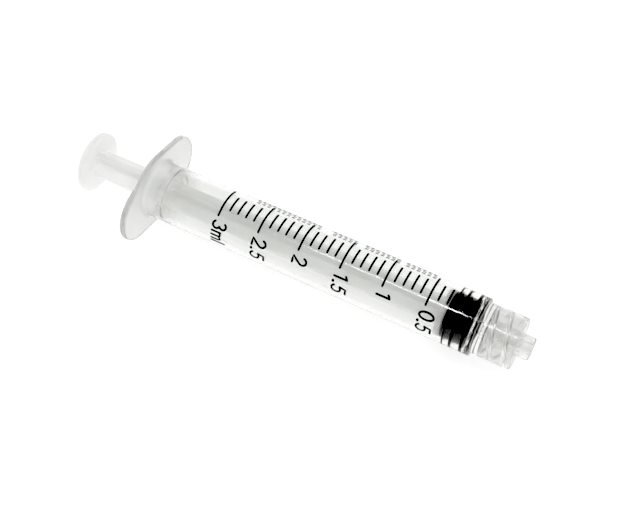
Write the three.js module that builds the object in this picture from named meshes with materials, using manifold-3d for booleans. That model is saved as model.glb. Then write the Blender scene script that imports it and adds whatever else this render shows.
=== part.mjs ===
// A 3 mL luer-lock syringe without a needle, lying on its side with the plunger pushed home.
// Three mouldings: a clear barrel, a natural plunger rod, and the black rubber stopper on its nose.
//
// Lengths are in millimetres. +X runs along the syringe's axis towards the tip, +Z is up, and the
// finger flange is long along Y. Each outline below is a list of [x, radius] corners, where x is
// measured along the axis from the scale's zero line. The last group moves the whole part so that
// its origin is at the centre of its length and width, on the surface that the flange rests on.
import * as THREE from "three";
import { mergeVertices } from "three/addons/utils/BufferGeometryUtils.js";
import Module from "manifold-3d";

// Driving dimensions -------------------------------------------------------------------------

const BARREL = {
  outerR: 5.225,
  boreR: 4.475,
  mouthR: 4.875,
  mouthDepth: 0.8, // the mouth narrows to the bore over this length
  coneStart: 0.35, // where the bore meets its conical front wall
  coneEnd: 1.35, // where the conical front wall meets the tip's channel
  shoulder: 1.3,
  frontWall: 2.5, // the front wall's outer face, which is the floor of the lock collar
};

const FLANGE = {
  front: -62.3,
  thickness: 1.1,
  centreR: 7.2, // half of the flange's width
  endR: 5.5,
  endOffset: 6.0, // with endR, half of the flange's length
  edgeRound: 0.25,
  rootFillet: 0.7,
};

const STOP_RING = { x: -59.2, height: 0.14, width: 0.9 };

const LUER = {
  tipEnd: 10.45,
  tipEndR: 1.965,
  taper: 0.03, // radius gained for each millimetre back from the end: a 6 % taper
  channelR: 0.8,
  edgeRound: 0.2,
};

const COLLAR = { end: 8.2, outerR: 4.6, rootR: 4.0 };

const THREAD = {
  lead: 5.0,
  starts: 2,
  ridgeR: 0.45, // the ridge is round in section, and half sunk in the collar's wall
  ridgeCentreR: 3.95,
  firstCrossing: 2.06, // where the first ridge passes the +Y side
  start: 2.5,
  turns: 0.96,
};

const ROD = {
  discRear: -76.45,
  discThickness: 1.05,
  discR: 5.59,
  discRound: 0.22,
  webHalfSpan: 2.7,
  webThickness: 0.9,
  webRootFillet: 0.35,
  headRear: -5.65,
  headFront: -4.65,
  headR: 4.2,
  headRound: 0.15,
  neckR: 1.35,
  barbRear: -3.4,
  barbR: 1.9,
  barbEdge: 0.4,
  barbTip: -1.6,
  barbTipR: 0.9,
};

const STOPPER = {
  rear: -4.5,
  ribR: 4.42,
  bodyR: 4.15,
  frontR: 4.3,
  coneTip: 1.05,
  coneTipR: 0.9,
  ribs: [
    { rear: -3.95, front: -3.45 },
    { rear: -2.65, front: -1.95 },
    { rear: -0.75, front: 0.0 },
  ],
  ribSlope: 0.12,
  cavityClearance: 0.15, // to the rod's neck and barb, all round
};

const ROUND_SIDES = 48;
const THREAD_SIDES = 8;
const THREAD_STEPS_PER_TURN = 40;
const EMBED = 0.4; // how far one joined solid reaches into the next

// Solids -------------------------------------------------------------------------------------

const wasm = await Module();
wasm.setup();

function solidFrom(geometry) {
  geometry.deleteAttribute("normal");
  geometry.deleteAttribute("uv");
  const merged = mergeVertices(geometry, 1e-4);
  const mesh = new wasm.Mesh({
    numProp: 3,
    vertProperties: new Float32Array(merged.attributes.position.array),
    triVerts: new Uint32Array(merged.index.array),
  });
  return new wasm.Manifold(mesh);
}

function geometryFrom(solid) {
  const { vertProperties, triVerts } = solid.getMesh();
  const geometry = new THREE.BufferGeometry();
  geometry.setAttribute("position", new THREE.BufferAttribute(vertProperties, 3));
  geometry.setIndex(new THREE.BufferAttribute(triVerts, 1));
  geometry.computeVertexNormals();
  return geometry;
}

// A solid of revolution about the X axis. The outline runs from the rear to the front.
function revolved(outline) {
  const points = outline.map(([x, radius]) => new THREE.Vector2(radius, x));
  const geometry = new THREE.LatheGeometry(points, ROUND_SIDES);
  geometry.rotateZ(-Math.PI / 2);
  return solidFrom(geometry);
}

// A plate normal to X with a flat outline and rounded edges, from rear to rear + thickness.
function plate(shape, rear, thickness, edgeRound) {
  const geometry = new THREE.ExtrudeGeometry(shape, {
    depth: thickness - 2 * edgeRound,
    curveSegments: 20,
    bevelEnabled: true,
    bevelThickness: edgeRound,
    bevelSize: edgeRound,
    bevelOffset: -edgeRound,
    bevelSegments: 3,
  });
  geometry.rotateY(Math.PI / 2);
  geometry.translate(rear + edgeRound, 0, 0);
  return solidFrom(geometry);
}

// Corners of a quarter-round that turns an outline from one face to the next.
function quarterRound(x, radius, size, fromFace) {
  const corners = [];
  const steps = 3;
  for (let i = 0; i <= steps; i += 1) {
    const angle = (i / steps) * (Math.PI / 2);
    const along = size * Math.sin(angle);
    const across = size * Math.cos(angle);
    if (fromFace === "rear") corners.push([x - across, radius + along]);
    else corners.push([x + along, radius + across]);
  }
  return corners;
}

// Barrel -------------------------------------------------------------------------------------

// The flange's outline: two round ends joined to a wider round middle by straight tangents.
function flangeShape() {
  const { centreR, endR, endOffset } = FLANGE;
  const lean = Math.asin((centreR - endR) / endOffset);
  const quarter = Math.PI / 2;
  const shape = new THREE.Shape();
  shape.absarc(0, endOffset, endR, lean, Math.PI - lean, false);
  shape.absarc(0, 0, centreR, Math.PI - lean, Math.PI + lean, false);
  shape.absarc(0, -endOffset, endR, Math.PI + lean, 4 * quarter - lean, false);
  shape.absarc(0, 0, centreR, -lean, lean, false);
  shape.closePath();
  return shape;
}

function flange() {
  const rear = FLANGE.front - FLANGE.thickness;
  return plate(flangeShape(), rear, FLANGE.thickness, FLANGE.edgeRound);
}

// The tube as a filled solid, with its root fillet at the flange and its front shoulder.
function tube() {
  const { outerR, shoulder, frontWall } = BARREL;
  const { front, rootFillet } = FLANGE;
  const round = 0.35;
  const floorR = COLLAR.rootR + EMBED / 2;
  return revolved([
    [front - EMBED, 0],
    [front - EMBED, outerR + rootFillet],
    [front, outerR + rootFillet],
    [front + 0.3 * rootFillet, outerR + 0.3 * rootFillet],
    [front + rootFillet, outerR],
    ...quarterRound(shoulder - round, outerR - round, round, "front"),
    [shoulder, floorR],
    [frontWall, floorR],
    [frontWall, 0],
  ]);
}

function lockCollar() {
  const { end, outerR, rootR } = COLLAR;
  const rear = BARREL.shoulder - EMBED;
  const edge = 0.12;
  return revolved([
    [rear, rootR],
    [rear, outerR],
    [end - edge, outerR],
    [end, outerR - edge],
    [end, rootR + edge],
    [end - edge, rootR],
    [rear, rootR],
  ]);
}

function luerTip() {
  const { tipEnd, tipEndR, taper, edgeRound } = LUER;
  const rear = BARREL.frontWall - EMBED;
  const rootR = tipEndR + taper * (tipEnd - rear);
  return revolved([
    [rear, 0],
    [rear, rootR],
    [tipEnd - edgeRound, tipEndR + taper * edgeRound],
    [tipEnd - 0.3 * edgeRound, tipEndR - 0.3 * edgeRound],
    [tipEnd, tipEndR - edgeRound],
    [tipEnd, 0],
  ]);
}

// Everything that the medicine and the plunger pass through.
function fluidPath() {
  const { boreR, mouthR, mouthDepth, coneStart, coneEnd } = BARREL;
  const { x, height, width } = STOP_RING;
  const rear = FLANGE.front - FLANGE.thickness;
  return revolved([
    [rear - 1, 0],
    [rear - 1, mouthR],
    [rear, mouthR],
    [rear + mouthDepth, boreR],
    [x - width / 2, boreR],
    [x - width / 6, boreR - height],
    [x + width / 6, boreR - height],
    [x + width / 2, boreR],
    [coneStart, boreR],
    [coneEnd, LUER.channelR],
    [LUER.tipEnd + 1, LUER.channelR],
    [LUER.tipEnd + 1, 0],
  ]);
}

class Helix extends THREE.Curve {
  constructor(phase) {
    super();
    this.phase = phase;
  }

  getPoint(t, target = new THREE.Vector3()) {
    const { start, lead, turns, firstCrossing, ridgeCentreR } = THREAD;
    const x = start + t * turns * lead;
    const angle = ((x - firstCrossing) / lead) * 2 * Math.PI + this.phase;
    return target.set(x, ridgeCentreR * Math.cos(angle), ridgeCentreR * Math.sin(angle));
  }
}

// One right-hand ridge on the inside of the collar.
function threadRidge(phase) {
  const section = new THREE.Shape();
  section.absarc(0, 0, THREAD.ridgeR, 0, 2 * Math.PI, false);
  const geometry = new THREE.ExtrudeGeometry(section, {
    steps: Math.round(THREAD.turns * THREAD_STEPS_PER_TURN),
    curveSegments: THREAD_SIDES,
    extrudePath: new Helix(phase),
    bevelEnabled: false,
  });
  return solidFrom(geometry);
}

function barrelSolid() {
  let solid = tube().add(flange()).add(lockCollar()).add(luerTip());
  solid = solid.subtract(fluidPath());
  for (let i = 0; i < THREAD.starts; i += 1) {
    solid = solid.add(threadRidge((i / THREAD.starts) * 2 * Math.PI));
  }
  return solid;
}

// Plunger rod --------------------------------------------------------------------------------

// A cross of two webs, with a small fillet in each inner corner.
function crossShape() {
  const span = ROD.webHalfSpan;
  const half = ROD.webThickness / 2;
  const inner = half + ROD.webRootFillet;
  const shape = new THREE.Shape();
  for (let i = 0; i < 4; i += 1) {
    const turn = (i * Math.PI) / 2;
    const place = (a, b) => [
      a * Math.cos(turn) - b * Math.sin(turn),
      a * Math.sin(turn) + b * Math.cos(turn),
    ];
    if (i === 0) shape.moveTo(...place(span, -half));
    else shape.lineTo(...place(span, -half));
    shape.lineTo(...place(span, half));
    shape.lineTo(...place(inner, half));
    shape.lineTo(...place(half, inner));
  }
  shape.closePath();
  return shape;
}

function webs() {
  const rear = ROD.discRear + ROD.discThickness - EMBED;
  const front = ROD.headRear + EMBED;
  const geometry = new THREE.ExtrudeGeometry(crossShape(), {
    depth: front - rear,
    bevelEnabled: false,
  });
  geometry.rotateY(Math.PI / 2);
  geometry.translate(rear, 0, 0);
  return solidFrom(geometry);
}

function roundDisc(rear, front, radius, round) {
  return revolved([
    [rear, 0],
    ...quarterRound(rear + round, radius - round, round, "rear"),
    ...quarterRound(front - round, radius - round, round, "front"),
    [front, 0],
  ]);
}

function barb() {
  const { headFront, neckR, barbRear, barbR, barbEdge, barbTip, barbTipR } = ROD;
  return revolved([
    [headFront - EMBED, 0],
    [headFront - EMBED, neckR],
    [barbRear, neckR],
    [barbRear, barbR],
    [barbRear + barbEdge, barbR],
    [barbTip, barbTipR],
    [barbTip, 0],
  ]);
}

function rodSolid() {
  const { discRear, discThickness, discR, discRound } = ROD;
  const thumbDisc = roundDisc(discRear, discRear + discThickness, discR, discRound);
  const headDisc = roundDisc(ROD.headRear, ROD.headFront, ROD.headR, ROD.headRound);
  return webs().add(thumbDisc).add(headDisc).add(barb());
}

// Stopper ------------------------------------------------------------------------------------

// The rear face, three sealing ribs and the conical face that meets the barrel's front wall.
function stopperOutside() {
  const { rear, ribR, bodyR, frontR, coneTip, coneTipR, ribs, ribSlope } = STOPPER;
  const edge = 0.15;
  const outline = [
    [rear, 0],
    [rear, bodyR - edge],
    [rear + edge, bodyR],
  ];
  for (const rib of ribs) {
    outline.push([rib.rear, bodyR]);
    outline.push([rib.rear + ribSlope, ribR]);
    outline.push([rib.front - ribSlope, ribR]);
    outline.push([rib.front, rib === ribs.at(-1) ? frontR : bodyR]);
  }
  outline.push([coneTip, coneTipR]);
  outline.push([coneTip, 0]);
  return revolved(outline);
}

// The snap-in cavity: the rod's neck and barb, grown by the clearance.
function stopperCavity() {
  const { neckR, barbRear, barbR, barbEdge, barbTip, barbTipR } = ROD;
  const gap = STOPPER.cavityClearance;
  return revolved([
    [STOPPER.rear - 1, 0],
    [STOPPER.rear - 1, neckR + gap],
    [barbRear - gap, neckR + gap],
    [barbRear - gap, barbR + gap],
    [barbRear + barbEdge, barbR + gap],
    [barbTip + gap, barbTipR + gap],
    [barbTip + gap, 0],
  ]);
}

function stopperSolid() {
  return stopperOutside().subtract(stopperCavity());
}

// Assembly -----------------------------------------------------------------------------------

const clearPlastic = new THREE.MeshStandardMaterial({
  name: "clear_plastic",
  color: 0xdfe3df,
  roughness: 0.12,
  metalness: 0,
  transparent: true,
  opacity: 0.4,
});

const naturalPlastic = new THREE.MeshStandardMaterial({
  name: "natural_plastic",
  color: 0xe4e5e2,
  roughness: 0.38,
  metalness: 0,
});

const blackRubber = new THREE.MeshStandardMaterial({
  name: "black_rubber",
  color: 0x0b0b0c,
  roughness: 0.45,
  metalness: 0,
});

function subPart(name, solid, material) {
  const mesh = new THREE.Mesh(geometryFrom(solid), material);
  mesh.name = name;
  return mesh;
}

const syringe = new THREE.Group();
syringe.name = "syringe";
syringe.add(subPart("barrel", barrelSolid(), clearPlastic));
syringe.add(subPart("stopper", stopperSolid(), blackRubber));
syringe.add(subPart("plunger_rod", rodSolid(), naturalPlastic));

const middleOfLength = (ROD.discRear + LUER.tipEnd) / 2;
syringe.position.set(-middleOfLength, 0, FLANGE.centreR);

const part = new THREE.Group();
part.add(syringe);

export default part;
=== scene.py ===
# The looks of a 3 mL luer-lock syringe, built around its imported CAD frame.
import math

import bmesh
import bpy
from mathutils import Matrix, Vector


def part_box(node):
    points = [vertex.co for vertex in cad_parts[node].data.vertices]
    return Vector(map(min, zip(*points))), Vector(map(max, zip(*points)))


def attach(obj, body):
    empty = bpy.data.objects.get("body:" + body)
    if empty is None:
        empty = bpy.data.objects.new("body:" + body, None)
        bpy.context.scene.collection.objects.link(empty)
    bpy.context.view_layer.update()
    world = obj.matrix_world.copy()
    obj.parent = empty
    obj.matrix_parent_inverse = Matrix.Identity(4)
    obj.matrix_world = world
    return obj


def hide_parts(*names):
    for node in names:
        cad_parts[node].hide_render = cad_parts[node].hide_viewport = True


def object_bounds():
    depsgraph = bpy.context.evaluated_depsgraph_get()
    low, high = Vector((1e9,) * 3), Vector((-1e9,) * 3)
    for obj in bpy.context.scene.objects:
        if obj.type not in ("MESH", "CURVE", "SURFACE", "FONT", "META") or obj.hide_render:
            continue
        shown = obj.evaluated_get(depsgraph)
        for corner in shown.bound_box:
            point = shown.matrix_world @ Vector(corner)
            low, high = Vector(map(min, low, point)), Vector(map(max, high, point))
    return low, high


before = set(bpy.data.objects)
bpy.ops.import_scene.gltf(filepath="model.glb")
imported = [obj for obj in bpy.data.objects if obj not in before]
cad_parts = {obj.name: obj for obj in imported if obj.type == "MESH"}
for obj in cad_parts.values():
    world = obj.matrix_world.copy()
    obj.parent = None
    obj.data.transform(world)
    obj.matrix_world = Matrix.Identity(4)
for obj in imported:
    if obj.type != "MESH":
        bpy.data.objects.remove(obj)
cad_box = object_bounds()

# Units and places ---------------------------------------------------------------------------
# Lengths below are in millimetres. x runs along the syringe's axis from the scale's zero line,
# towards the tip, and y and z are measured from the axis. place() turns them into the frame.

MM = 0.001
TIP_END = 10.45
barrel_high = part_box("barrel")[1]
stopper_low, stopper_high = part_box("stopper")
AXIS_POINT = Vector((barrel_high.x - TIP_END * MM, 0.0, (stopper_low.z + stopper_high.z) / 2))


def place(x, y, z):
    """A point of the frame, in metres, from one given in millimetres."""
    return AXIS_POINT + Vector((x, y, z)) * MM


# Driving dimensions, the same as the CAD part's ----------------------------------------------

BORE_R = 4.475
OUTER_R = 5.225
MOUTH_R = 4.875
MOUTH_DEPTH = 0.8
STOP_RING = -59.2
CONE_START = 0.35  # the bore's conical end wall
CONE_END = 1.35
SHOULDER = 1.3
FRONT_WALL = 2.5  # the floor of the lock collar
FLANGE_FRONT = -62.3
FLANGE_REAR = -63.4
FLANGE_CENTRE_R = 7.2
FLANGE_END_R = 5.5
FLANGE_END_OFFSET = 6.0
ROOT_FILLET = 0.7
CHANNEL_R = 0.8
TIP_END_R = 1.965
TIP_TAPER = 0.03
COLLAR_END = 8.2
COLLAR_R = 4.6
COLLAR_ROOT_R = 4.0
THREAD_LEAD = 5.0
THREAD_STARTS = 2
THREAD_CROSSING = 2.06  # where the first ridge passes the +Y side
THREAD_HEIGHT = 0.5

DISC_REAR = -76.45
DISC_FRONT = -75.4
DISC_R = 5.59
WEB_SPAN = 2.7
WEB_HALF = 0.45
HEAD_REAR = -5.65
HEAD_FRONT = -4.65
HEAD_R = 4.2
NECK_R = 1.35
BARB_REAR = -3.4
BARB_R = 1.9
BARB_EDGE = 0.4
BARB_TIP = -1.6
BARB_TIP_R = 0.9

STOPPER_REAR = -4.5
STOPPER_BODY_R = 4.15
STOPPER_FRONT_R = 4.3
RIBS = ((-3.95, -3.45), (-2.65, -1.95), (-0.75, 0.0))

ML = 1000 / (math.pi * BORE_R ** 2)  # length of one millilitre along the bore

SIDES = 192
QUARTER_TURN = math.radians(90)


# Mesh helpers -------------------------------------------------------------------------------

def ring(x, radius):
    """One round of points about the axis.

    radius is a number, or a function of the angle from +Y.
    """
    points = []
    for i in range(SIDES):
        angle = 2 * math.pi * i / SIDES
        r = radius(angle) if callable(radius) else radius
        points.append((x, r * math.cos(angle), r * math.sin(angle)))
    return points


def rounded(corners):
    """An outline of [x, radius] points from corners given as (x, radius, round).

    Each corner becomes an arc. Two more points just outside it keep the straight stretches flat
    when the surface is shaded smooth.
    """
    steps = 5
    support = 0.06
    outline = []
    for i, (x, r, size) in enumerate(corners):
        here = Vector((x, r))
        if i in (0, len(corners) - 1):
            outline.append(here)
            continue
        back = Vector(corners[i - 1][:2]) - here
        ahead = Vector(corners[i + 1][:2]) - here
        half_turn = back.angle(ahead) / 2
        reach = size / math.tan(half_turn)
        start = here + back.normalized() * reach
        end = here + ahead.normalized() * reach
        if back.length > 3 * (reach + support):
            outline.append(here + back.normalized() * (reach + support))
        for k in range(steps + 1):
            t = k / steps
            outline.append(start.lerp(here, t).lerp(here.lerp(end, t), t))
        if ahead.length > 3 * (reach + support):
            outline.append(here + ahead.normalized() * (reach + support))
    return [(p.x, p.y) for p in outline]


def loft(name, rings, closed_loop=False):
    """A closed mesh through rings of points. The ends close on each other or on centre points."""
    mesh = bmesh.new()
    rows = [[mesh.verts.new(place(*p)) for p in points] for points in rings]
    pairs = list(zip(rows, rows[1:]))
    if closed_loop:
        pairs.append((rows[-1], rows[0]))
    for a, b in pairs:
        n = len(a)
        for i in range(n):
            j = (i + 1) % n
            mesh.faces.new((a[i], a[j], b[j], b[i]))
    if not closed_loop:
        for row in (rows[0], rows[-1]):
            centre = sum((v.co for v in row), Vector()) / len(row)
            hub = mesh.verts.new(centre)
            for i in range(len(row)):
                mesh.faces.new((row[i], row[(i + 1) % len(row)], hub))
    bmesh.ops.recalc_face_normals(mesh, faces=mesh.faces[:])
    return finished(name, mesh)


def finished(name, mesh, smooth=True):
    """The mesh as a named object in the scene."""
    data = bpy.data.meshes.new(name)
    mesh.to_mesh(data)
    mesh.free()
    if smooth:
        data.shade_smooth()
    piece = bpy.data.objects.new(name, data)
    bpy.context.scene.collection.objects.link(piece)
    return piece


# Barrel -------------------------------------------------------------------------------------

FLANGE_EDGE_ROUND = 0.32  # a little softer than the CAD part's


def flange_outline(angle):
    """Radius of the flange's edge: two round ends joined to a wider middle by straight tangents."""
    along = abs(math.cos(angle))
    across = abs(math.sin(angle))
    lean = math.asin((FLANGE_CENTRE_R - FLANGE_END_R) / FLANGE_END_OFFSET)
    middle = QUARTER_TURN - lean
    polar = math.atan2(across, along)
    if polar >= middle:
        return FLANGE_CENTRE_R
    end_top = (
        FLANGE_END_OFFSET + FLANGE_END_R * math.sin(lean),
        FLANGE_END_R * math.cos(lean),
    )
    if polar > math.atan2(end_top[1], end_top[0]):
        return FLANGE_CENTRE_R / math.cos(middle - polar)
    b = FLANGE_END_OFFSET * along
    return b + math.sqrt(b * b - FLANGE_END_OFFSET ** 2 + FLANGE_END_R ** 2)


def thread_radius(x, angle):
    """Radius of the collar's inside, with its right-hand ridges."""
    pitch = THREAD_LEAD / THREAD_STARTS
    turned = THREAD_LEAD * angle / (2 * math.pi)
    offset = (x - THREAD_CROSSING - turned + pitch / 2) % pitch - pitch / 2
    crest = 0.12
    foot = 0.42
    flank = min(1.0, max(0.0, (foot - abs(offset)) / (foot - crest)))
    flank = flank * flank * (3 - 2 * flank)
    thread_end = COLLAR_END - 0.75
    fade_length = 0.35
    fade = min(1.0, max(0.0, (thread_end - x) / fade_length))
    return COLLAR_ROOT_R - THREAD_HEIGHT * flank * fade


def collar_inside():
    """The threaded wall of the collar, from its floor to its mouth."""
    start = FRONT_WALL + 0.25
    end = COLLAR_END - 0.2
    steps = 96
    rings = []
    for i in range(steps + 1):
        x = start + (end - start) * i / steps
        rings.append(ring(x, lambda a, x=x: thread_radius(x, a)))
    return rings


def lathe(corners):
    """Rings for a round outline, whose corners are given as (x, radius, round)."""
    return [ring(x, r) for x, r in rounded(corners)]


def stop_ring():
    """A low smooth bump all round the bore."""
    half_width = 0.45
    height = 0.14
    steps = 12
    rings = []
    for i in range(steps + 1):
        t = i / steps
        x = STOP_RING - half_width + 2 * half_width * t
        bump = height * (0.5 - 0.5 * math.cos(2 * math.pi * t))
        rings.append(ring(x, BORE_R - bump))
    return rings


def flange_face(x, share):
    """A ring on a flat face, share of the way from the root fillet to the edge's round."""
    root = OUTER_R + ROOT_FILLET
    return ring(x, lambda a: root + (flange_outline(a) - FLANGE_EDGE_ROUND - root) * share)


def flange_edge(x, inset):
    """A ring inset from the flange's outline."""
    return ring(x, lambda a: flange_outline(a) - inset)


def flange_rings():
    """From the root fillet out over the front face, round the edge and back over the rear face."""
    rings = []
    for i in range(9):
        a = QUARTER_TURN * i / 8
        x = FLANGE_FRONT + ROOT_FILLET * (1 - math.sin(a))
        rings.append(ring(x, OUTER_R + ROOT_FILLET * (1 - math.cos(a))))
    for share in (0.04, 0.5, 0.95):
        rings.append(flange_face(FLANGE_FRONT, share))
    turns = [QUARTER_TURN * i / 5 for i in range(6)]
    for turn in turns:
        x = FLANGE_FRONT - FLANGE_EDGE_ROUND * (1 - math.cos(turn))
        rings.append(flange_edge(x, FLANGE_EDGE_ROUND * (1 - math.sin(turn))))
    for turn in reversed(turns):
        x = FLANGE_REAR + FLANGE_EDGE_ROUND * (1 - math.cos(turn))
        rings.append(flange_edge(x, FLANGE_EDGE_ROUND * (1 - math.sin(turn))))
    for share in (0.95, 0.5, 0.04):
        rings.append(flange_face(FLANGE_REAR, share))
    return rings


def barrel():
    ring_start = STOP_RING - 0.6
    ring_end = STOP_RING + 0.6
    bore = lathe([
        (FLANGE_REAR, MOUTH_R + 0.6, 0),
        (FLANGE_REAR, MOUTH_R, 0.15),
        (FLANGE_REAR + MOUTH_DEPTH, BORE_R, 0.3),
        (ring_start, BORE_R, 0),
    ])
    front = lathe([
        (ring_end, BORE_R, 0),
        (CONE_START, BORE_R, 0.25),
        (CONE_END, CHANNEL_R, 0.2),
        (TIP_END, CHANNEL_R, 0.12),
        (TIP_END, TIP_END_R, 0.2),
        (FRONT_WALL, TIP_END_R + TIP_TAPER * (TIP_END - FRONT_WALL), 0.3),
        (FRONT_WALL, COLLAR_ROOT_R, 0.2),
        (FRONT_WALL + 0.22, COLLAR_ROOT_R, 0),
    ])
    outside = lathe([
        (COLLAR_END - 0.18, COLLAR_ROOT_R, 0),
        (COLLAR_END, COLLAR_ROOT_R, 0.1),
        (COLLAR_END, COLLAR_R, 0.1),
        (SHOULDER, COLLAR_R, 0.1),
        (SHOULDER, OUTER_R, 0.3),
        (FLANGE_FRONT + ROOT_FILLET + 0.02, OUTER_R, 0),
    ])
    rings = bore + stop_ring() + front + collar_inside() + outside + flange_rings()
    piece = loft("clear_barrel", rings, closed_loop=True)
    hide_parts("barrel")
    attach(piece, "barrel")
    return piece


# Plunger rod --------------------------------------------------------------------------------

def cross_outline():
    """Corners of the shaft's section: two webs with rounded edges and filleted inner corners."""
    edge = 0.12
    fillet = 0.4
    inner = WEB_HALF + fillet
    side_start = WEB_SPAN - edge
    edge_steps = 3
    side_steps = 7
    arc_steps = 4
    tip = []
    for k in range(1, edge_steps + 1):
        t = k / (edge_steps + 1)
        tip.append((WEB_SPAN, (WEB_HALF - edge) * (2 * t - 1)))
    flank = []
    for k in range(arc_steps + 1):
        a = QUARTER_TURN * k / arc_steps
        flank.append((side_start + edge * math.cos(a), WEB_HALF - edge + edge * math.sin(a)))
    for k in range(1, side_steps + 1):
        t = k / (side_steps + 1)
        flank.append((side_start + (inner - side_start) * t, WEB_HALF))
    for k in range(arc_steps + 1):
        a = math.radians(45) * k / arc_steps
        flank.append((inner - fillet * math.sin(a), inner - fillet * math.cos(a)))
    next_flank = [(z, y) for y, z in reversed(flank[:-1])]
    points = []
    for quarter in range(4):
        c = round(math.cos(quarter * QUARTER_TURN))
        s = round(math.sin(quarter * QUARTER_TURN))
        for y, z in tip + flank + next_flank:
            points.append((y * c - z * s, y * s + z * c))
    return points


def rod_rings():
    """The thumb disc, the shaft, the head disc and the barb, as rings of one point count."""
    section = cross_outline()
    directions = [math.atan2(z, y) for y, z in section]
    disc_fillet = 0.5
    head_fillet = 0.3

    def circles(corners):
        return [
            [(x, r * math.cos(a), r * math.sin(a)) for a in directions]
            for x, r in rounded(corners)
        ]

    def cross(x, swell=0.0):
        return [
            (x, y + swell * math.cos(a), z + swell * math.sin(a))
            for (y, z), a in zip(section, directions)
        ]

    rings = circles([
        (DISC_REAR, 0.4, 0),
        (DISC_REAR, DISC_R, 0.3),
        (DISC_FRONT, DISC_R, 0.3),
        (DISC_FRONT, WEB_SPAN + 1.0, 0),
    ])
    for k in range(7):
        a = QUARTER_TURN * k / 6
        x = DISC_FRONT + disc_fillet * (1 - math.cos(a))
        rings.append(cross(x, disc_fillet * (1 - math.sin(a))))
    rings.append(cross(DISC_FRONT + disc_fillet + 0.1))
    rings.append(cross(HEAD_REAR - head_fillet - 0.1))
    for k in range(5):
        a = QUARTER_TURN * k / 4
        rings.append(cross(HEAD_REAR - head_fillet * math.cos(a), head_fillet * (1 - math.cos(a))))
    rings += circles([
        (HEAD_REAR, WEB_SPAN + 0.7, 0),
        (HEAD_REAR, HEAD_R, 0.18),
        (HEAD_FRONT, HEAD_R, 0.18),
        (HEAD_FRONT, NECK_R, 0.1),
        (BARB_REAR, NECK_R, 0.05),
        (BARB_REAR, BARB_R, 0.1),
        (BARB_REAR + BARB_EDGE, BARB_R, 0.1),
        (BARB_TIP, BARB_TIP_R, 0.15),
        (BARB_TIP, 0.2, 0),
    ])
    return rings


def plunger_rod():
    piece = loft("ribbed_rod", rod_rings())
    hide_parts("plunger_rod")
    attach(piece, "plunger_rod")
    return piece


# Stopper ------------------------------------------------------------------------------------
# The silicone film leaves no air between the rubber and the barrel, so the ribs reach just into
# the bore's surface, and the nose just into its conical end wall.

TOUCH_R = BORE_R + 0.004
NOSE = ((0.648, 3.4), (1.314, 0.95))  # (x, radius) of both ends of the nose's cone


def stopper():
    gap = 0.02  # to the rod's neck and barb
    nose_foot, nose_end = NOSE
    corners = [
        (BARB_TIP + gap, 0.2, 0),
        (BARB_TIP + gap, BARB_TIP_R + gap, 0.1),
        (BARB_REAR + BARB_EDGE, BARB_R + gap, 0.1),
        (BARB_REAR - gap, BARB_R + gap, 0.05),
        (BARB_REAR - gap, NECK_R + gap, 0.05),
        (STOPPER_REAR, NECK_R + gap, 0.1),
        (STOPPER_REAR, STOPPER_BODY_R, 0.2),
    ]
    for rear, front in RIBS:
        corners.append((rear, STOPPER_BODY_R, 0.06))
        corners.append((rear + 0.1, TOUCH_R, 0.05))
        corners.append((front - 0.1, TOUCH_R, 0.05))
        corners.append((front, STOPPER_BODY_R if front < 0 else STOPPER_FRONT_R, 0.05))
    corners.append((*nose_foot, 0.05))
    corners.append((*nose_end, 0.1))
    corners.append((nose_end[0], 0.2, 0))
    piece = loft("rubber_stopper", lathe(corners))
    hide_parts("stopper")
    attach(piece, "stopper")
    return piece


# Printed scale ------------------------------------------------------------------------------

INK_INSIDE = 0.012  # how far the ink's closed band reaches into the barrel
INK_OUTSIDE = 0.012  # and how far it stands proud


def wrap(x, across, lift):
    """A point of the print. across is the distance round the barrel from its top, towards -Y."""
    angle = across / OUTER_R
    r = OUTER_R + lift
    return place(x, -r * math.sin(angle), r * math.cos(angle))


def round_end(tip, out, half):
    """Pairs of edge points round a stroke's end, from its shoulders outwards."""
    side = Vector((-out.y, out.x))
    pairs = []
    for k in range(1, 5):
        a = QUARTER_TURN * k / 5
        centre = tip + out * (half * math.sin(a))
        reach = side * (half * math.cos(a))
        pairs.append((centre + reach, centre - reach))
    return pairs


def stroke_edges(path, width, closed):
    """Pairs of points on the left and right edges of a pen stroke. An open one has round ends."""
    half = width / 2
    points = [Vector(p) for p in path]
    count = len(points)
    pairs = []
    for i, here in enumerate(points):
        before = points[i - 1] if closed else points[max(0, i - 1)]
        after = points[(i + 1) % count] if closed else points[min(count - 1, i + 1)]
        along = (after - before).normalized()
        side = Vector((-along.y, along.x)) * half
        pairs.append((here + side, here - side))
    if closed:
        return pairs
    start = round_end(points[0], (points[0] - points[1]).normalized(), half)
    end = round_end(points[-1], (points[-1] - points[-2]).normalized(), half)
    return [(right, left) for left, right in reversed(start)] + pairs + end


def add_stroke(mesh, path, width, closed=False):
    """Adds one pen stroke to the print, as a thin closed band that follows the barrel."""
    rows = []
    for left, right in stroke_edges(path, width, closed):
        rows.append([
            mesh.verts.new(wrap(left.x, left.y, INK_OUTSIDE)),
            mesh.verts.new(wrap(right.x, right.y, INK_OUTSIDE)),
            mesh.verts.new(wrap(right.x, right.y, -INK_INSIDE)),
            mesh.verts.new(wrap(left.x, left.y, -INK_INSIDE)),
        ])
    pairs = list(zip(rows, rows[1:]))
    if closed:
        pairs.append((rows[-1], rows[0]))
    else:
        mesh.faces.new(rows[0])
        mesh.faces.new(rows[-1][::-1])
    for a, b in pairs:
        for i in range(4):
            j = (i + 1) % 4
            mesh.faces.new((a[i], b[i], b[j], a[j]))


def arc(cx, cy, rx, ry, start, end, steps):
    """Points on part of an ellipse, with angles in degrees."""
    points = []
    for k in range(steps + 1):
        a = math.radians(start + (end - start) * k / steps)
        points.append((cx + rx * math.cos(a), cy + ry * math.sin(a)))
    return points


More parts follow.
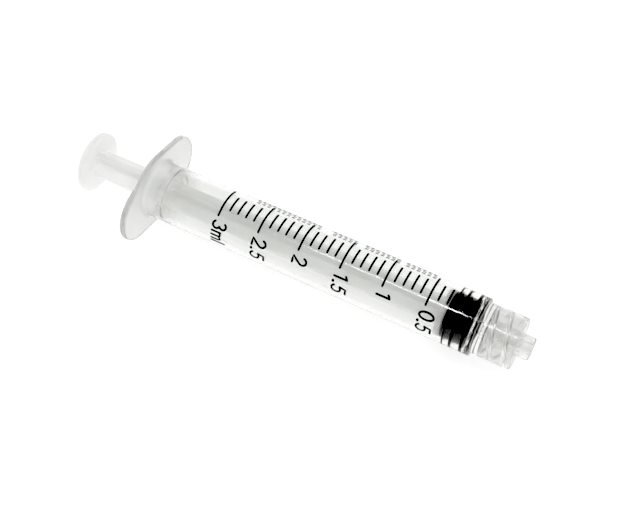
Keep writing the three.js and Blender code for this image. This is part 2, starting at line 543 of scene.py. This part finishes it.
def glyphs():
    """For each character its pen paths, each with whether it is closed, and its width.

    A path's points are in units of the character's height.
    """
    zero = arc(0.29, 0.5, 0.23, 0.44, 0, 360, 28)[:-1]
    one = [(0.06, 0.76), (0.16, 0.84), (0.24, 0.94), (0.24, 0.5), (0.24, 0.06)]
    two = arc(0.29, 0.69, 0.22, 0.25, 165, -30, 12)
    two += [(0.26, 0.28), (0.08, 0.06), (0.3, 0.06), (0.52, 0.06)]
    three = arc(0.27, 0.72, 0.2, 0.22, 150, -85, 10)
    three += arc(0.27, 0.29, 0.23, 0.23, 80, -150, 12)
    five = [(0.48, 0.94), (0.3, 0.94), (0.15, 0.94), (0.11, 0.72), (0.08, 0.52)]
    five += arc(0.27, 0.34, 0.24, 0.28, 130, -150, 14)
    stem = [(0.07, 0.06), (0.07, 0.3), (0.07, 0.66)]
    near_arch = [(0.07, 0.5), (0.14, 0.62), (0.24, 0.66), (0.34, 0.6), (0.36, 0.46), (0.36, 0.06)]
    far_arch = [(0.36, 0.5), (0.44, 0.62), (0.54, 0.66), (0.63, 0.6), (0.65, 0.46), (0.65, 0.06)]
    return {
        "0": ([(zero, True)], 0.58),
        "1": ([(one, False)], 0.42),
        "2": ([(two, False)], 0.6),
        "3": ([(three, False)], 0.58),
        "5": ([(five, False)], 0.58),
        ".": ([([(0.06, 0.07), (0.1, 0.07)], False)], 0.18),
        "m": ([(stem, False), (near_arch, False), (far_arch, False)], 0.74),
        "l": ([([(0.07, 0.06), (0.07, 0.5), (0.07, 0.94)], False)], 0.16),
    }


# Places across the print are measured round the barrel from its top, towards -Y.
TICK_WIDTH = 0.36
LONG_TICK = (-3.45, 2.85)
SHORT_TICK = (-1.78, 1.27)
LABELS = {5: "0.5", 10: "1", 15: "1.5", 20: "2", 25: "2.5", 30: "3ml"}  # by tenths of a millilitre
LABEL_START = 3.7
DIGIT_HEIGHT = 2.95
LETTER_SPACE = 0.07
BASELINE = -0.65
PEN = 0.38
DOT_PEN = 0.475
MARK_ROWS = (-5.0, -4.25)
MARK_GROUPS = ((-43.3, -30.6), (-28.2, -22.9), (-22.0, -15.0), (-14.2, -7.9))
MARK_PITCH = 1.0
MARK_LENGTH = 0.32
MARK_WIDTH = 0.36


def add_label(mesh, text, mark, shapes):
    """Writes text beside the tick at mark. It reads round the barrel, towards -Y."""
    across = LABEL_START
    for letter in text:
        paths, advance = shapes[letter]
        pen = DOT_PEN if letter == "." else PEN
        for path, closed in paths:
            wrapped = [
                (mark + BASELINE + y * DIGIT_HEIGHT, across + x * DIGIT_HEIGHT)
                for x, y in path
            ]
            add_stroke(mesh, wrapped, pen, closed)
        across += (advance + LETTER_SPACE) * DIGIT_HEIGHT


def add_marks(mesh):
    """Rows of plain dashes in groups, on the far side, in place of small print."""
    for start, end in MARK_GROUPS:
        for i in range(round((end - start) / MARK_PITCH)):
            mark = start + MARK_PITCH * i
            for across in MARK_ROWS:
                dash = [(mark + MARK_LENGTH * k / 2, across) for k in range(3)]
                add_stroke(mesh, dash, MARK_WIDTH)


def tick_path(mark, ends):
    steps = 16
    return [
        (mark, ends[0] + (ends[1] - ends[0]) * k / steps)
        for k in range(steps + 1)
    ]


def scale_print():
    """The scale's ticks and labels and the far side's marks, as one piece of ink."""
    mesh = bmesh.new()
    shapes = glyphs()
    for tenth in range(1, 31):
        mark = -ML * tenth / 10
        ends = LONG_TICK if tenth % 5 == 0 else SHORT_TICK
        add_stroke(mesh, tick_path(mark, ends), TICK_WIDTH)
    for tenth, text in LABELS.items():
        add_label(mesh, text, -ML * tenth / 10, shapes)
    add_marks(mesh)
    bmesh.ops.recalc_face_normals(mesh, faces=mesh.faces[:])
    piece = finished("scale_print", mesh, smooth=False)
    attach(piece, "barrel")
    return piece


# Materials ----------------------------------------------------------------------------------

NOISE_SPAN = (0.3, 0.7)  # the noise texture's values seldom leave it


def shader(name, **values):
    """A new material with the given values on its Principled shader."""
    material = bpy.data.materials.new(name)
    material.use_nodes = True
    principled = material.node_tree.nodes["Principled BSDF"]
    for key, value in values.items():
        principled.inputs[key.replace("_", " ")].default_value = value
    return material


def principled_input(material, name):
    return material.node_tree.nodes["Principled BSDF"].inputs[name]


def noise(material, size_mm, detail=3.0, stretch=1.0):
    """Noise whose blots are size_mm across, and stretch times as long along the syringe."""
    nodes = material.node_tree.nodes
    links = material.node_tree.links
    coordinates = nodes.new("ShaderNodeTexCoord")
    mapping = nodes.new("ShaderNodeMapping")
    mapping.inputs["Scale"].default_value = (1 / stretch, 1, 1)
    texture = nodes.new("ShaderNodeTexNoise")
    texture.inputs["Scale"].default_value = 1 / (size_mm * MM)
    texture.inputs["Detail"].default_value = detail
    links.new(coordinates.outputs["Object"], mapping.inputs["Vector"])
    links.new(mapping.outputs["Vector"], texture.inputs["Vector"])
    return texture.outputs["Fac"]


def vary_colour(material, factor, low, high):
    """Lets the base colour wander between low and high."""
    nodes = material.node_tree.nodes
    links = material.node_tree.links
    ramp = nodes.new("ShaderNodeValToRGB")
    for element, position, colour in zip(ramp.color_ramp.elements, NOISE_SPAN, (low, high)):
        element.position = position
        element.color = (*colour, 1)
    links.new(factor, ramp.inputs["Fac"])
    links.new(ramp.outputs["Color"], principled_input(material, "Base Color"))


def map_range(material, value, span, low, high):
    """The value's span stretched over low to high, with smooth ends."""
    spread = material.node_tree.nodes.new("ShaderNodeMapRange")
    spread.interpolation_type = "SMOOTHSTEP"
    spread.inputs["From Min"].default_value, spread.inputs["From Max"].default_value = span
    spread.inputs["To Min"].default_value = low
    spread.inputs["To Max"].default_value = high
    material.node_tree.links.new(value, spread.inputs["Value"])
    return spread.outputs["Result"]


def along_axis(material, stretch, low, high):
    """A value that goes from low to high over a stretch of the syringe's axis."""
    nodes = material.node_tree.nodes
    links = material.node_tree.links
    coordinates = nodes.new("ShaderNodeTexCoord")
    split = nodes.new("ShaderNodeSeparateXYZ")
    links.new(coordinates.outputs["Object"], split.inputs["Vector"])
    span = [place(x, 0, 0).x for x in stretch]
    return map_range(material, split.outputs["X"], span, low, high)


def vary_roughness(material, factor, low, high):
    """Lets the roughness wander between low and high."""
    roughness = map_range(material, factor, NOISE_SPAN, low, high)
    material.node_tree.links.new(roughness, principled_input(material, "Roughness"))


def add_relief(material, factor, height_mm):
    """Adds a bump of height_mm on top of any relief that the material has already."""
    nodes = material.node_tree.nodes
    links = material.node_tree.links
    normal = principled_input(material, "Normal")
    bump = nodes.new("ShaderNodeBump")
    bump.inputs["Distance"].default_value = height_mm * MM
    links.new(factor, bump.inputs["Height"])
    if normal.is_linked:
        links.new(normal.links[0].from_socket, bump.inputs["Normal"])
    links.new(bump.outputs["Normal"], normal)


def combine(material, operation, first, second):
    """One value made from two."""
    node = material.node_tree.nodes.new("ShaderNodeMath")
    node.operation = operation
    material.node_tree.links.new(first, node.inputs[0])
    material.node_tree.links.new(second, node.inputs[1])
    return node.outputs["Value"]


def clear_plastic():
    """Polypropylene, faintly grey-green, with streaks of moulding haze.

    Its tube is polished. The flange and, less so, the collar and tip are frosted.
    """
    material = shader("clear_plastic", IOR=1.49)
    links = material.node_tree.links
    haze = noise(material, 2.2, stretch=4.0)
    vary_colour(material, haze, (0.925, 0.93, 0.917), (0.95, 0.953, 0.943))
    flange = (FLANGE_FRONT + 0.5, FLANGE_FRONT + 7.0)
    collar = (FRONT_WALL - 1.0, FRONT_WALL + 1.0)
    clarity = combine(
        material, "MULTIPLY",
        along_axis(material, flange, 0.68, 1.0),
        along_axis(material, collar, 1.0, 0.88),
    )
    links.new(clarity, principled_input(material, "Transmission Weight"))
    satin = combine(
        material, "ADD",
        along_axis(material, flange, 0.15, 0.0),
        along_axis(material, collar, 0.0, 0.08),
    )
    streaks = map_range(material, noise(material, 1.1, stretch=2.5), NOISE_SPAN, 0.05, 0.1)
    roughness = combine(material, "ADD", streaks, satin)
    links.new(roughness, principled_input(material, "Roughness"))
    add_relief(material, noise(material, 1.6, detail=1.0, stretch=5.0), 0.006)
    return material


def natural_plastic():
    """Milky polypropylene: light spreads inside it, and its skin is satin."""
    material = shader(
        "natural_plastic",
        IOR=1.49,
        Subsurface_Weight=1.0,
        Subsurface_Radius=(1.0, 1.0, 1.0),
        Subsurface_Scale=0.004,
    )
    cloud = noise(material, 2.6, stretch=3.0)
    vary_colour(material, cloud, (0.865, 0.87, 0.857), (0.9, 0.905, 0.895))
    vary_roughness(material, noise(material, 0.9), 0.3, 0.42)
    add_relief(material, noise(material, 1.8, detail=1.0, stretch=4.0), 0.01)
    add_relief(material, noise(material, 0.12), 0.002)
    return material


def black_rubber():
    """Moulded rubber, satin from its silicone film, with a fine grain."""
    material = shader("black_rubber", IOR=1.45)
    vary_colour(material, noise(material, 0.7), (0.004, 0.004, 0.005), (0.009, 0.009, 0.01))
    vary_roughness(material, noise(material, 0.5), 0.24, 0.4)
    add_relief(material, noise(material, 0.09), 0.003)
    return material


def scale_ink():
    """Screen-printed black ink, a little uneven in thickness and gloss."""
    material = shader("scale_ink", IOR=1.45)
    vary_colour(material, noise(material, 0.25), (0.003, 0.003, 0.003), (0.012, 0.012, 0.012))
    vary_roughness(material, noise(material, 0.2), 0.32, 0.55)
    add_relief(material, noise(material, 0.06), 0.002)
    return material


# Floor, light and camera --------------------------------------------------------------------

def floor():
    """A pale table that glows, like a light table turned low."""
    bpy.ops.mesh.primitive_plane_add(size=3.0, location=(0, 0, cad_box[0].z))
    piece = bpy.context.object
    piece.name = "floor"
    material = shader(
        "floor",
        Base_Color=(0.25, 0.25, 0.25, 1),
        Roughness=0.9,
        Emission_Color=(1, 1, 1, 1),
        Emission_Strength=0.83,
    )
    piece.data.materials.append(material)


def area_light(name, where, size, watts, colour, target):
    """A rectangular lamp at where, in metres, that faces target."""
    data = bpy.data.lights.new(name, "AREA")
    data.shape = "RECTANGLE"
    data.size, data.size_y = size
    data.energy = watts
    data.color = colour
    light = bpy.data.objects.new(name, data)
    light.location = where
    aim = Vector(target) - Vector(where)
    light.rotation_euler = aim.to_track_quat("-Z", "Y").to_euler()
    bpy.context.scene.collection.objects.link(light)


def room():
    """White walls that darken towards the ceiling."""
    world = bpy.data.worlds.new("studio")
    world.use_nodes = True
    nodes = world.node_tree.nodes
    links = world.node_tree.links
    coordinates = nodes.new("ShaderNodeTexCoord")
    split = nodes.new("ShaderNodeSeparateXYZ")
    fade = nodes.new("ShaderNodeMapRange")
    fade.interpolation_type = "SMOOTHSTEP"
    fade.inputs["From Max"].default_value = 0.45  # the sine of the height above the horizon
    fade.inputs["To Min"].default_value = 1.0
    fade.inputs["To Max"].default_value = 0.36
    links.new(coordinates.outputs["Generated"], split.inputs["Vector"])
    links.new(split.outputs["Z"], fade.inputs["Value"])
    links.new(fade.outputs["Result"], nodes["Background"].inputs["Strength"])
    nodes["Background"].inputs["Color"].default_value = (1.0, 1.0, 0.99, 1)
    return world


# Softboxes: name, distance from the syringe's middle, height, and watts.
SOFTBOXES = (
    ("softbox_rear", -0.33, 0.33, 0.34),
    ("softbox_front", 0.18, 0.38, 0.62),
)
SOFTBOX_SIDE = 0.3
SOFTBOX_WHITE = (1.0, 1.0, 0.985)

# Strip lights in line: name, both ends from the scale's zero line, width in metres, and W/m2.
STRIPS = (
    ("strip_rear", -0.149, -0.062, 0.012, 60),
    ("strip_middle", -0.062, -0.054, 0.04, 170),
    ("strip_front", -0.041, -0.015, 0.022, 70),
)
STRIP_Y = -0.069
STRIP_Z = 0.4
STRIP_VIOLET = (0.97, 0.95, 1.0)


def lights():
    """The room, a softbox towards each end of the syringe, and a row of strips overhead."""
    bpy.context.scene.world = room()
    zero = AXIS_POINT.x
    middle = zero - 0.03
    size = (SOFTBOX_SIDE, SOFTBOX_SIDE)
    for name, along, height, watts in SOFTBOXES:
        where = (middle + along, 0, height)
        area_light(name, where, size, watts, SOFTBOX_WHITE, (middle, 0, 0))
    for name, low, high, width, brightness in STRIPS:
        at = zero + (low + high) / 2
        length = high - low
        watts = brightness * length * width
        where = (at, STRIP_Y, STRIP_Z)
        area_light(name, where, (length, width), watts, STRIP_VIOLET, (at, 0, 0))


def camera():
    """A view from the front and above, with the scale facing up."""
    azimuth = math.radians(29.75)
    elevation = math.radians(57.44)
    roll = math.radians(-2.34)
    distance = 192.4 * MM
    target = AXIS_POINT + Vector((-29.34, 0.33, 0.18)) * MM
    data = bpy.data.cameras.new("camera")
    data.lens = 61.92
    data.sensor_width = 36
    data.clip_start = 0.001
    piece = bpy.data.objects.new("camera", data)
    back = Vector((
        math.sin(azimuth) * math.cos(elevation),
        -math.cos(azimuth) * math.cos(elevation),
        math.sin(elevation),
    ))
    turn = back.to_track_quat("Z", "Y").to_matrix().to_4x4() @ Matrix.Rotation(roll, 4, "Z")
    piece.matrix_world = Matrix.Translation(target + back * distance) @ turn
    bpy.context.scene.collection.objects.link(piece)
    bpy.context.scene.camera = piece


def dress():
    """Makes every visible piece and gives it its material."""
    for piece, material in (
        (barrel(), clear_plastic()),
        (plunger_rod(), natural_plastic()),
        (stopper(), black_rubber()),
        (scale_print(), scale_ink()),
    ):
        piece.data.materials.append(material)


def view_and_bounces():
    """Enough bounces for thick clear plastic, and a black level that keeps the rubber black."""
    scene = bpy.context.scene
    scene.view_settings.view_transform = "Standard"
    scene.view_settings.use_curve_mapping = True
    scene.view_settings.curve_mapping.black_level = (0.1, 0.1, 0.1)
    scene.view_settings.curve_mapping.update()
    scene.cycles.glossy_bounces = 64
    scene.cycles.transmission_bounces = 64
    scene.cycles.max_bounces = 96
    scene.cycles.blur_glossy = 0.0


camera()
lights()
floor()
dress()
view_and_bounces()
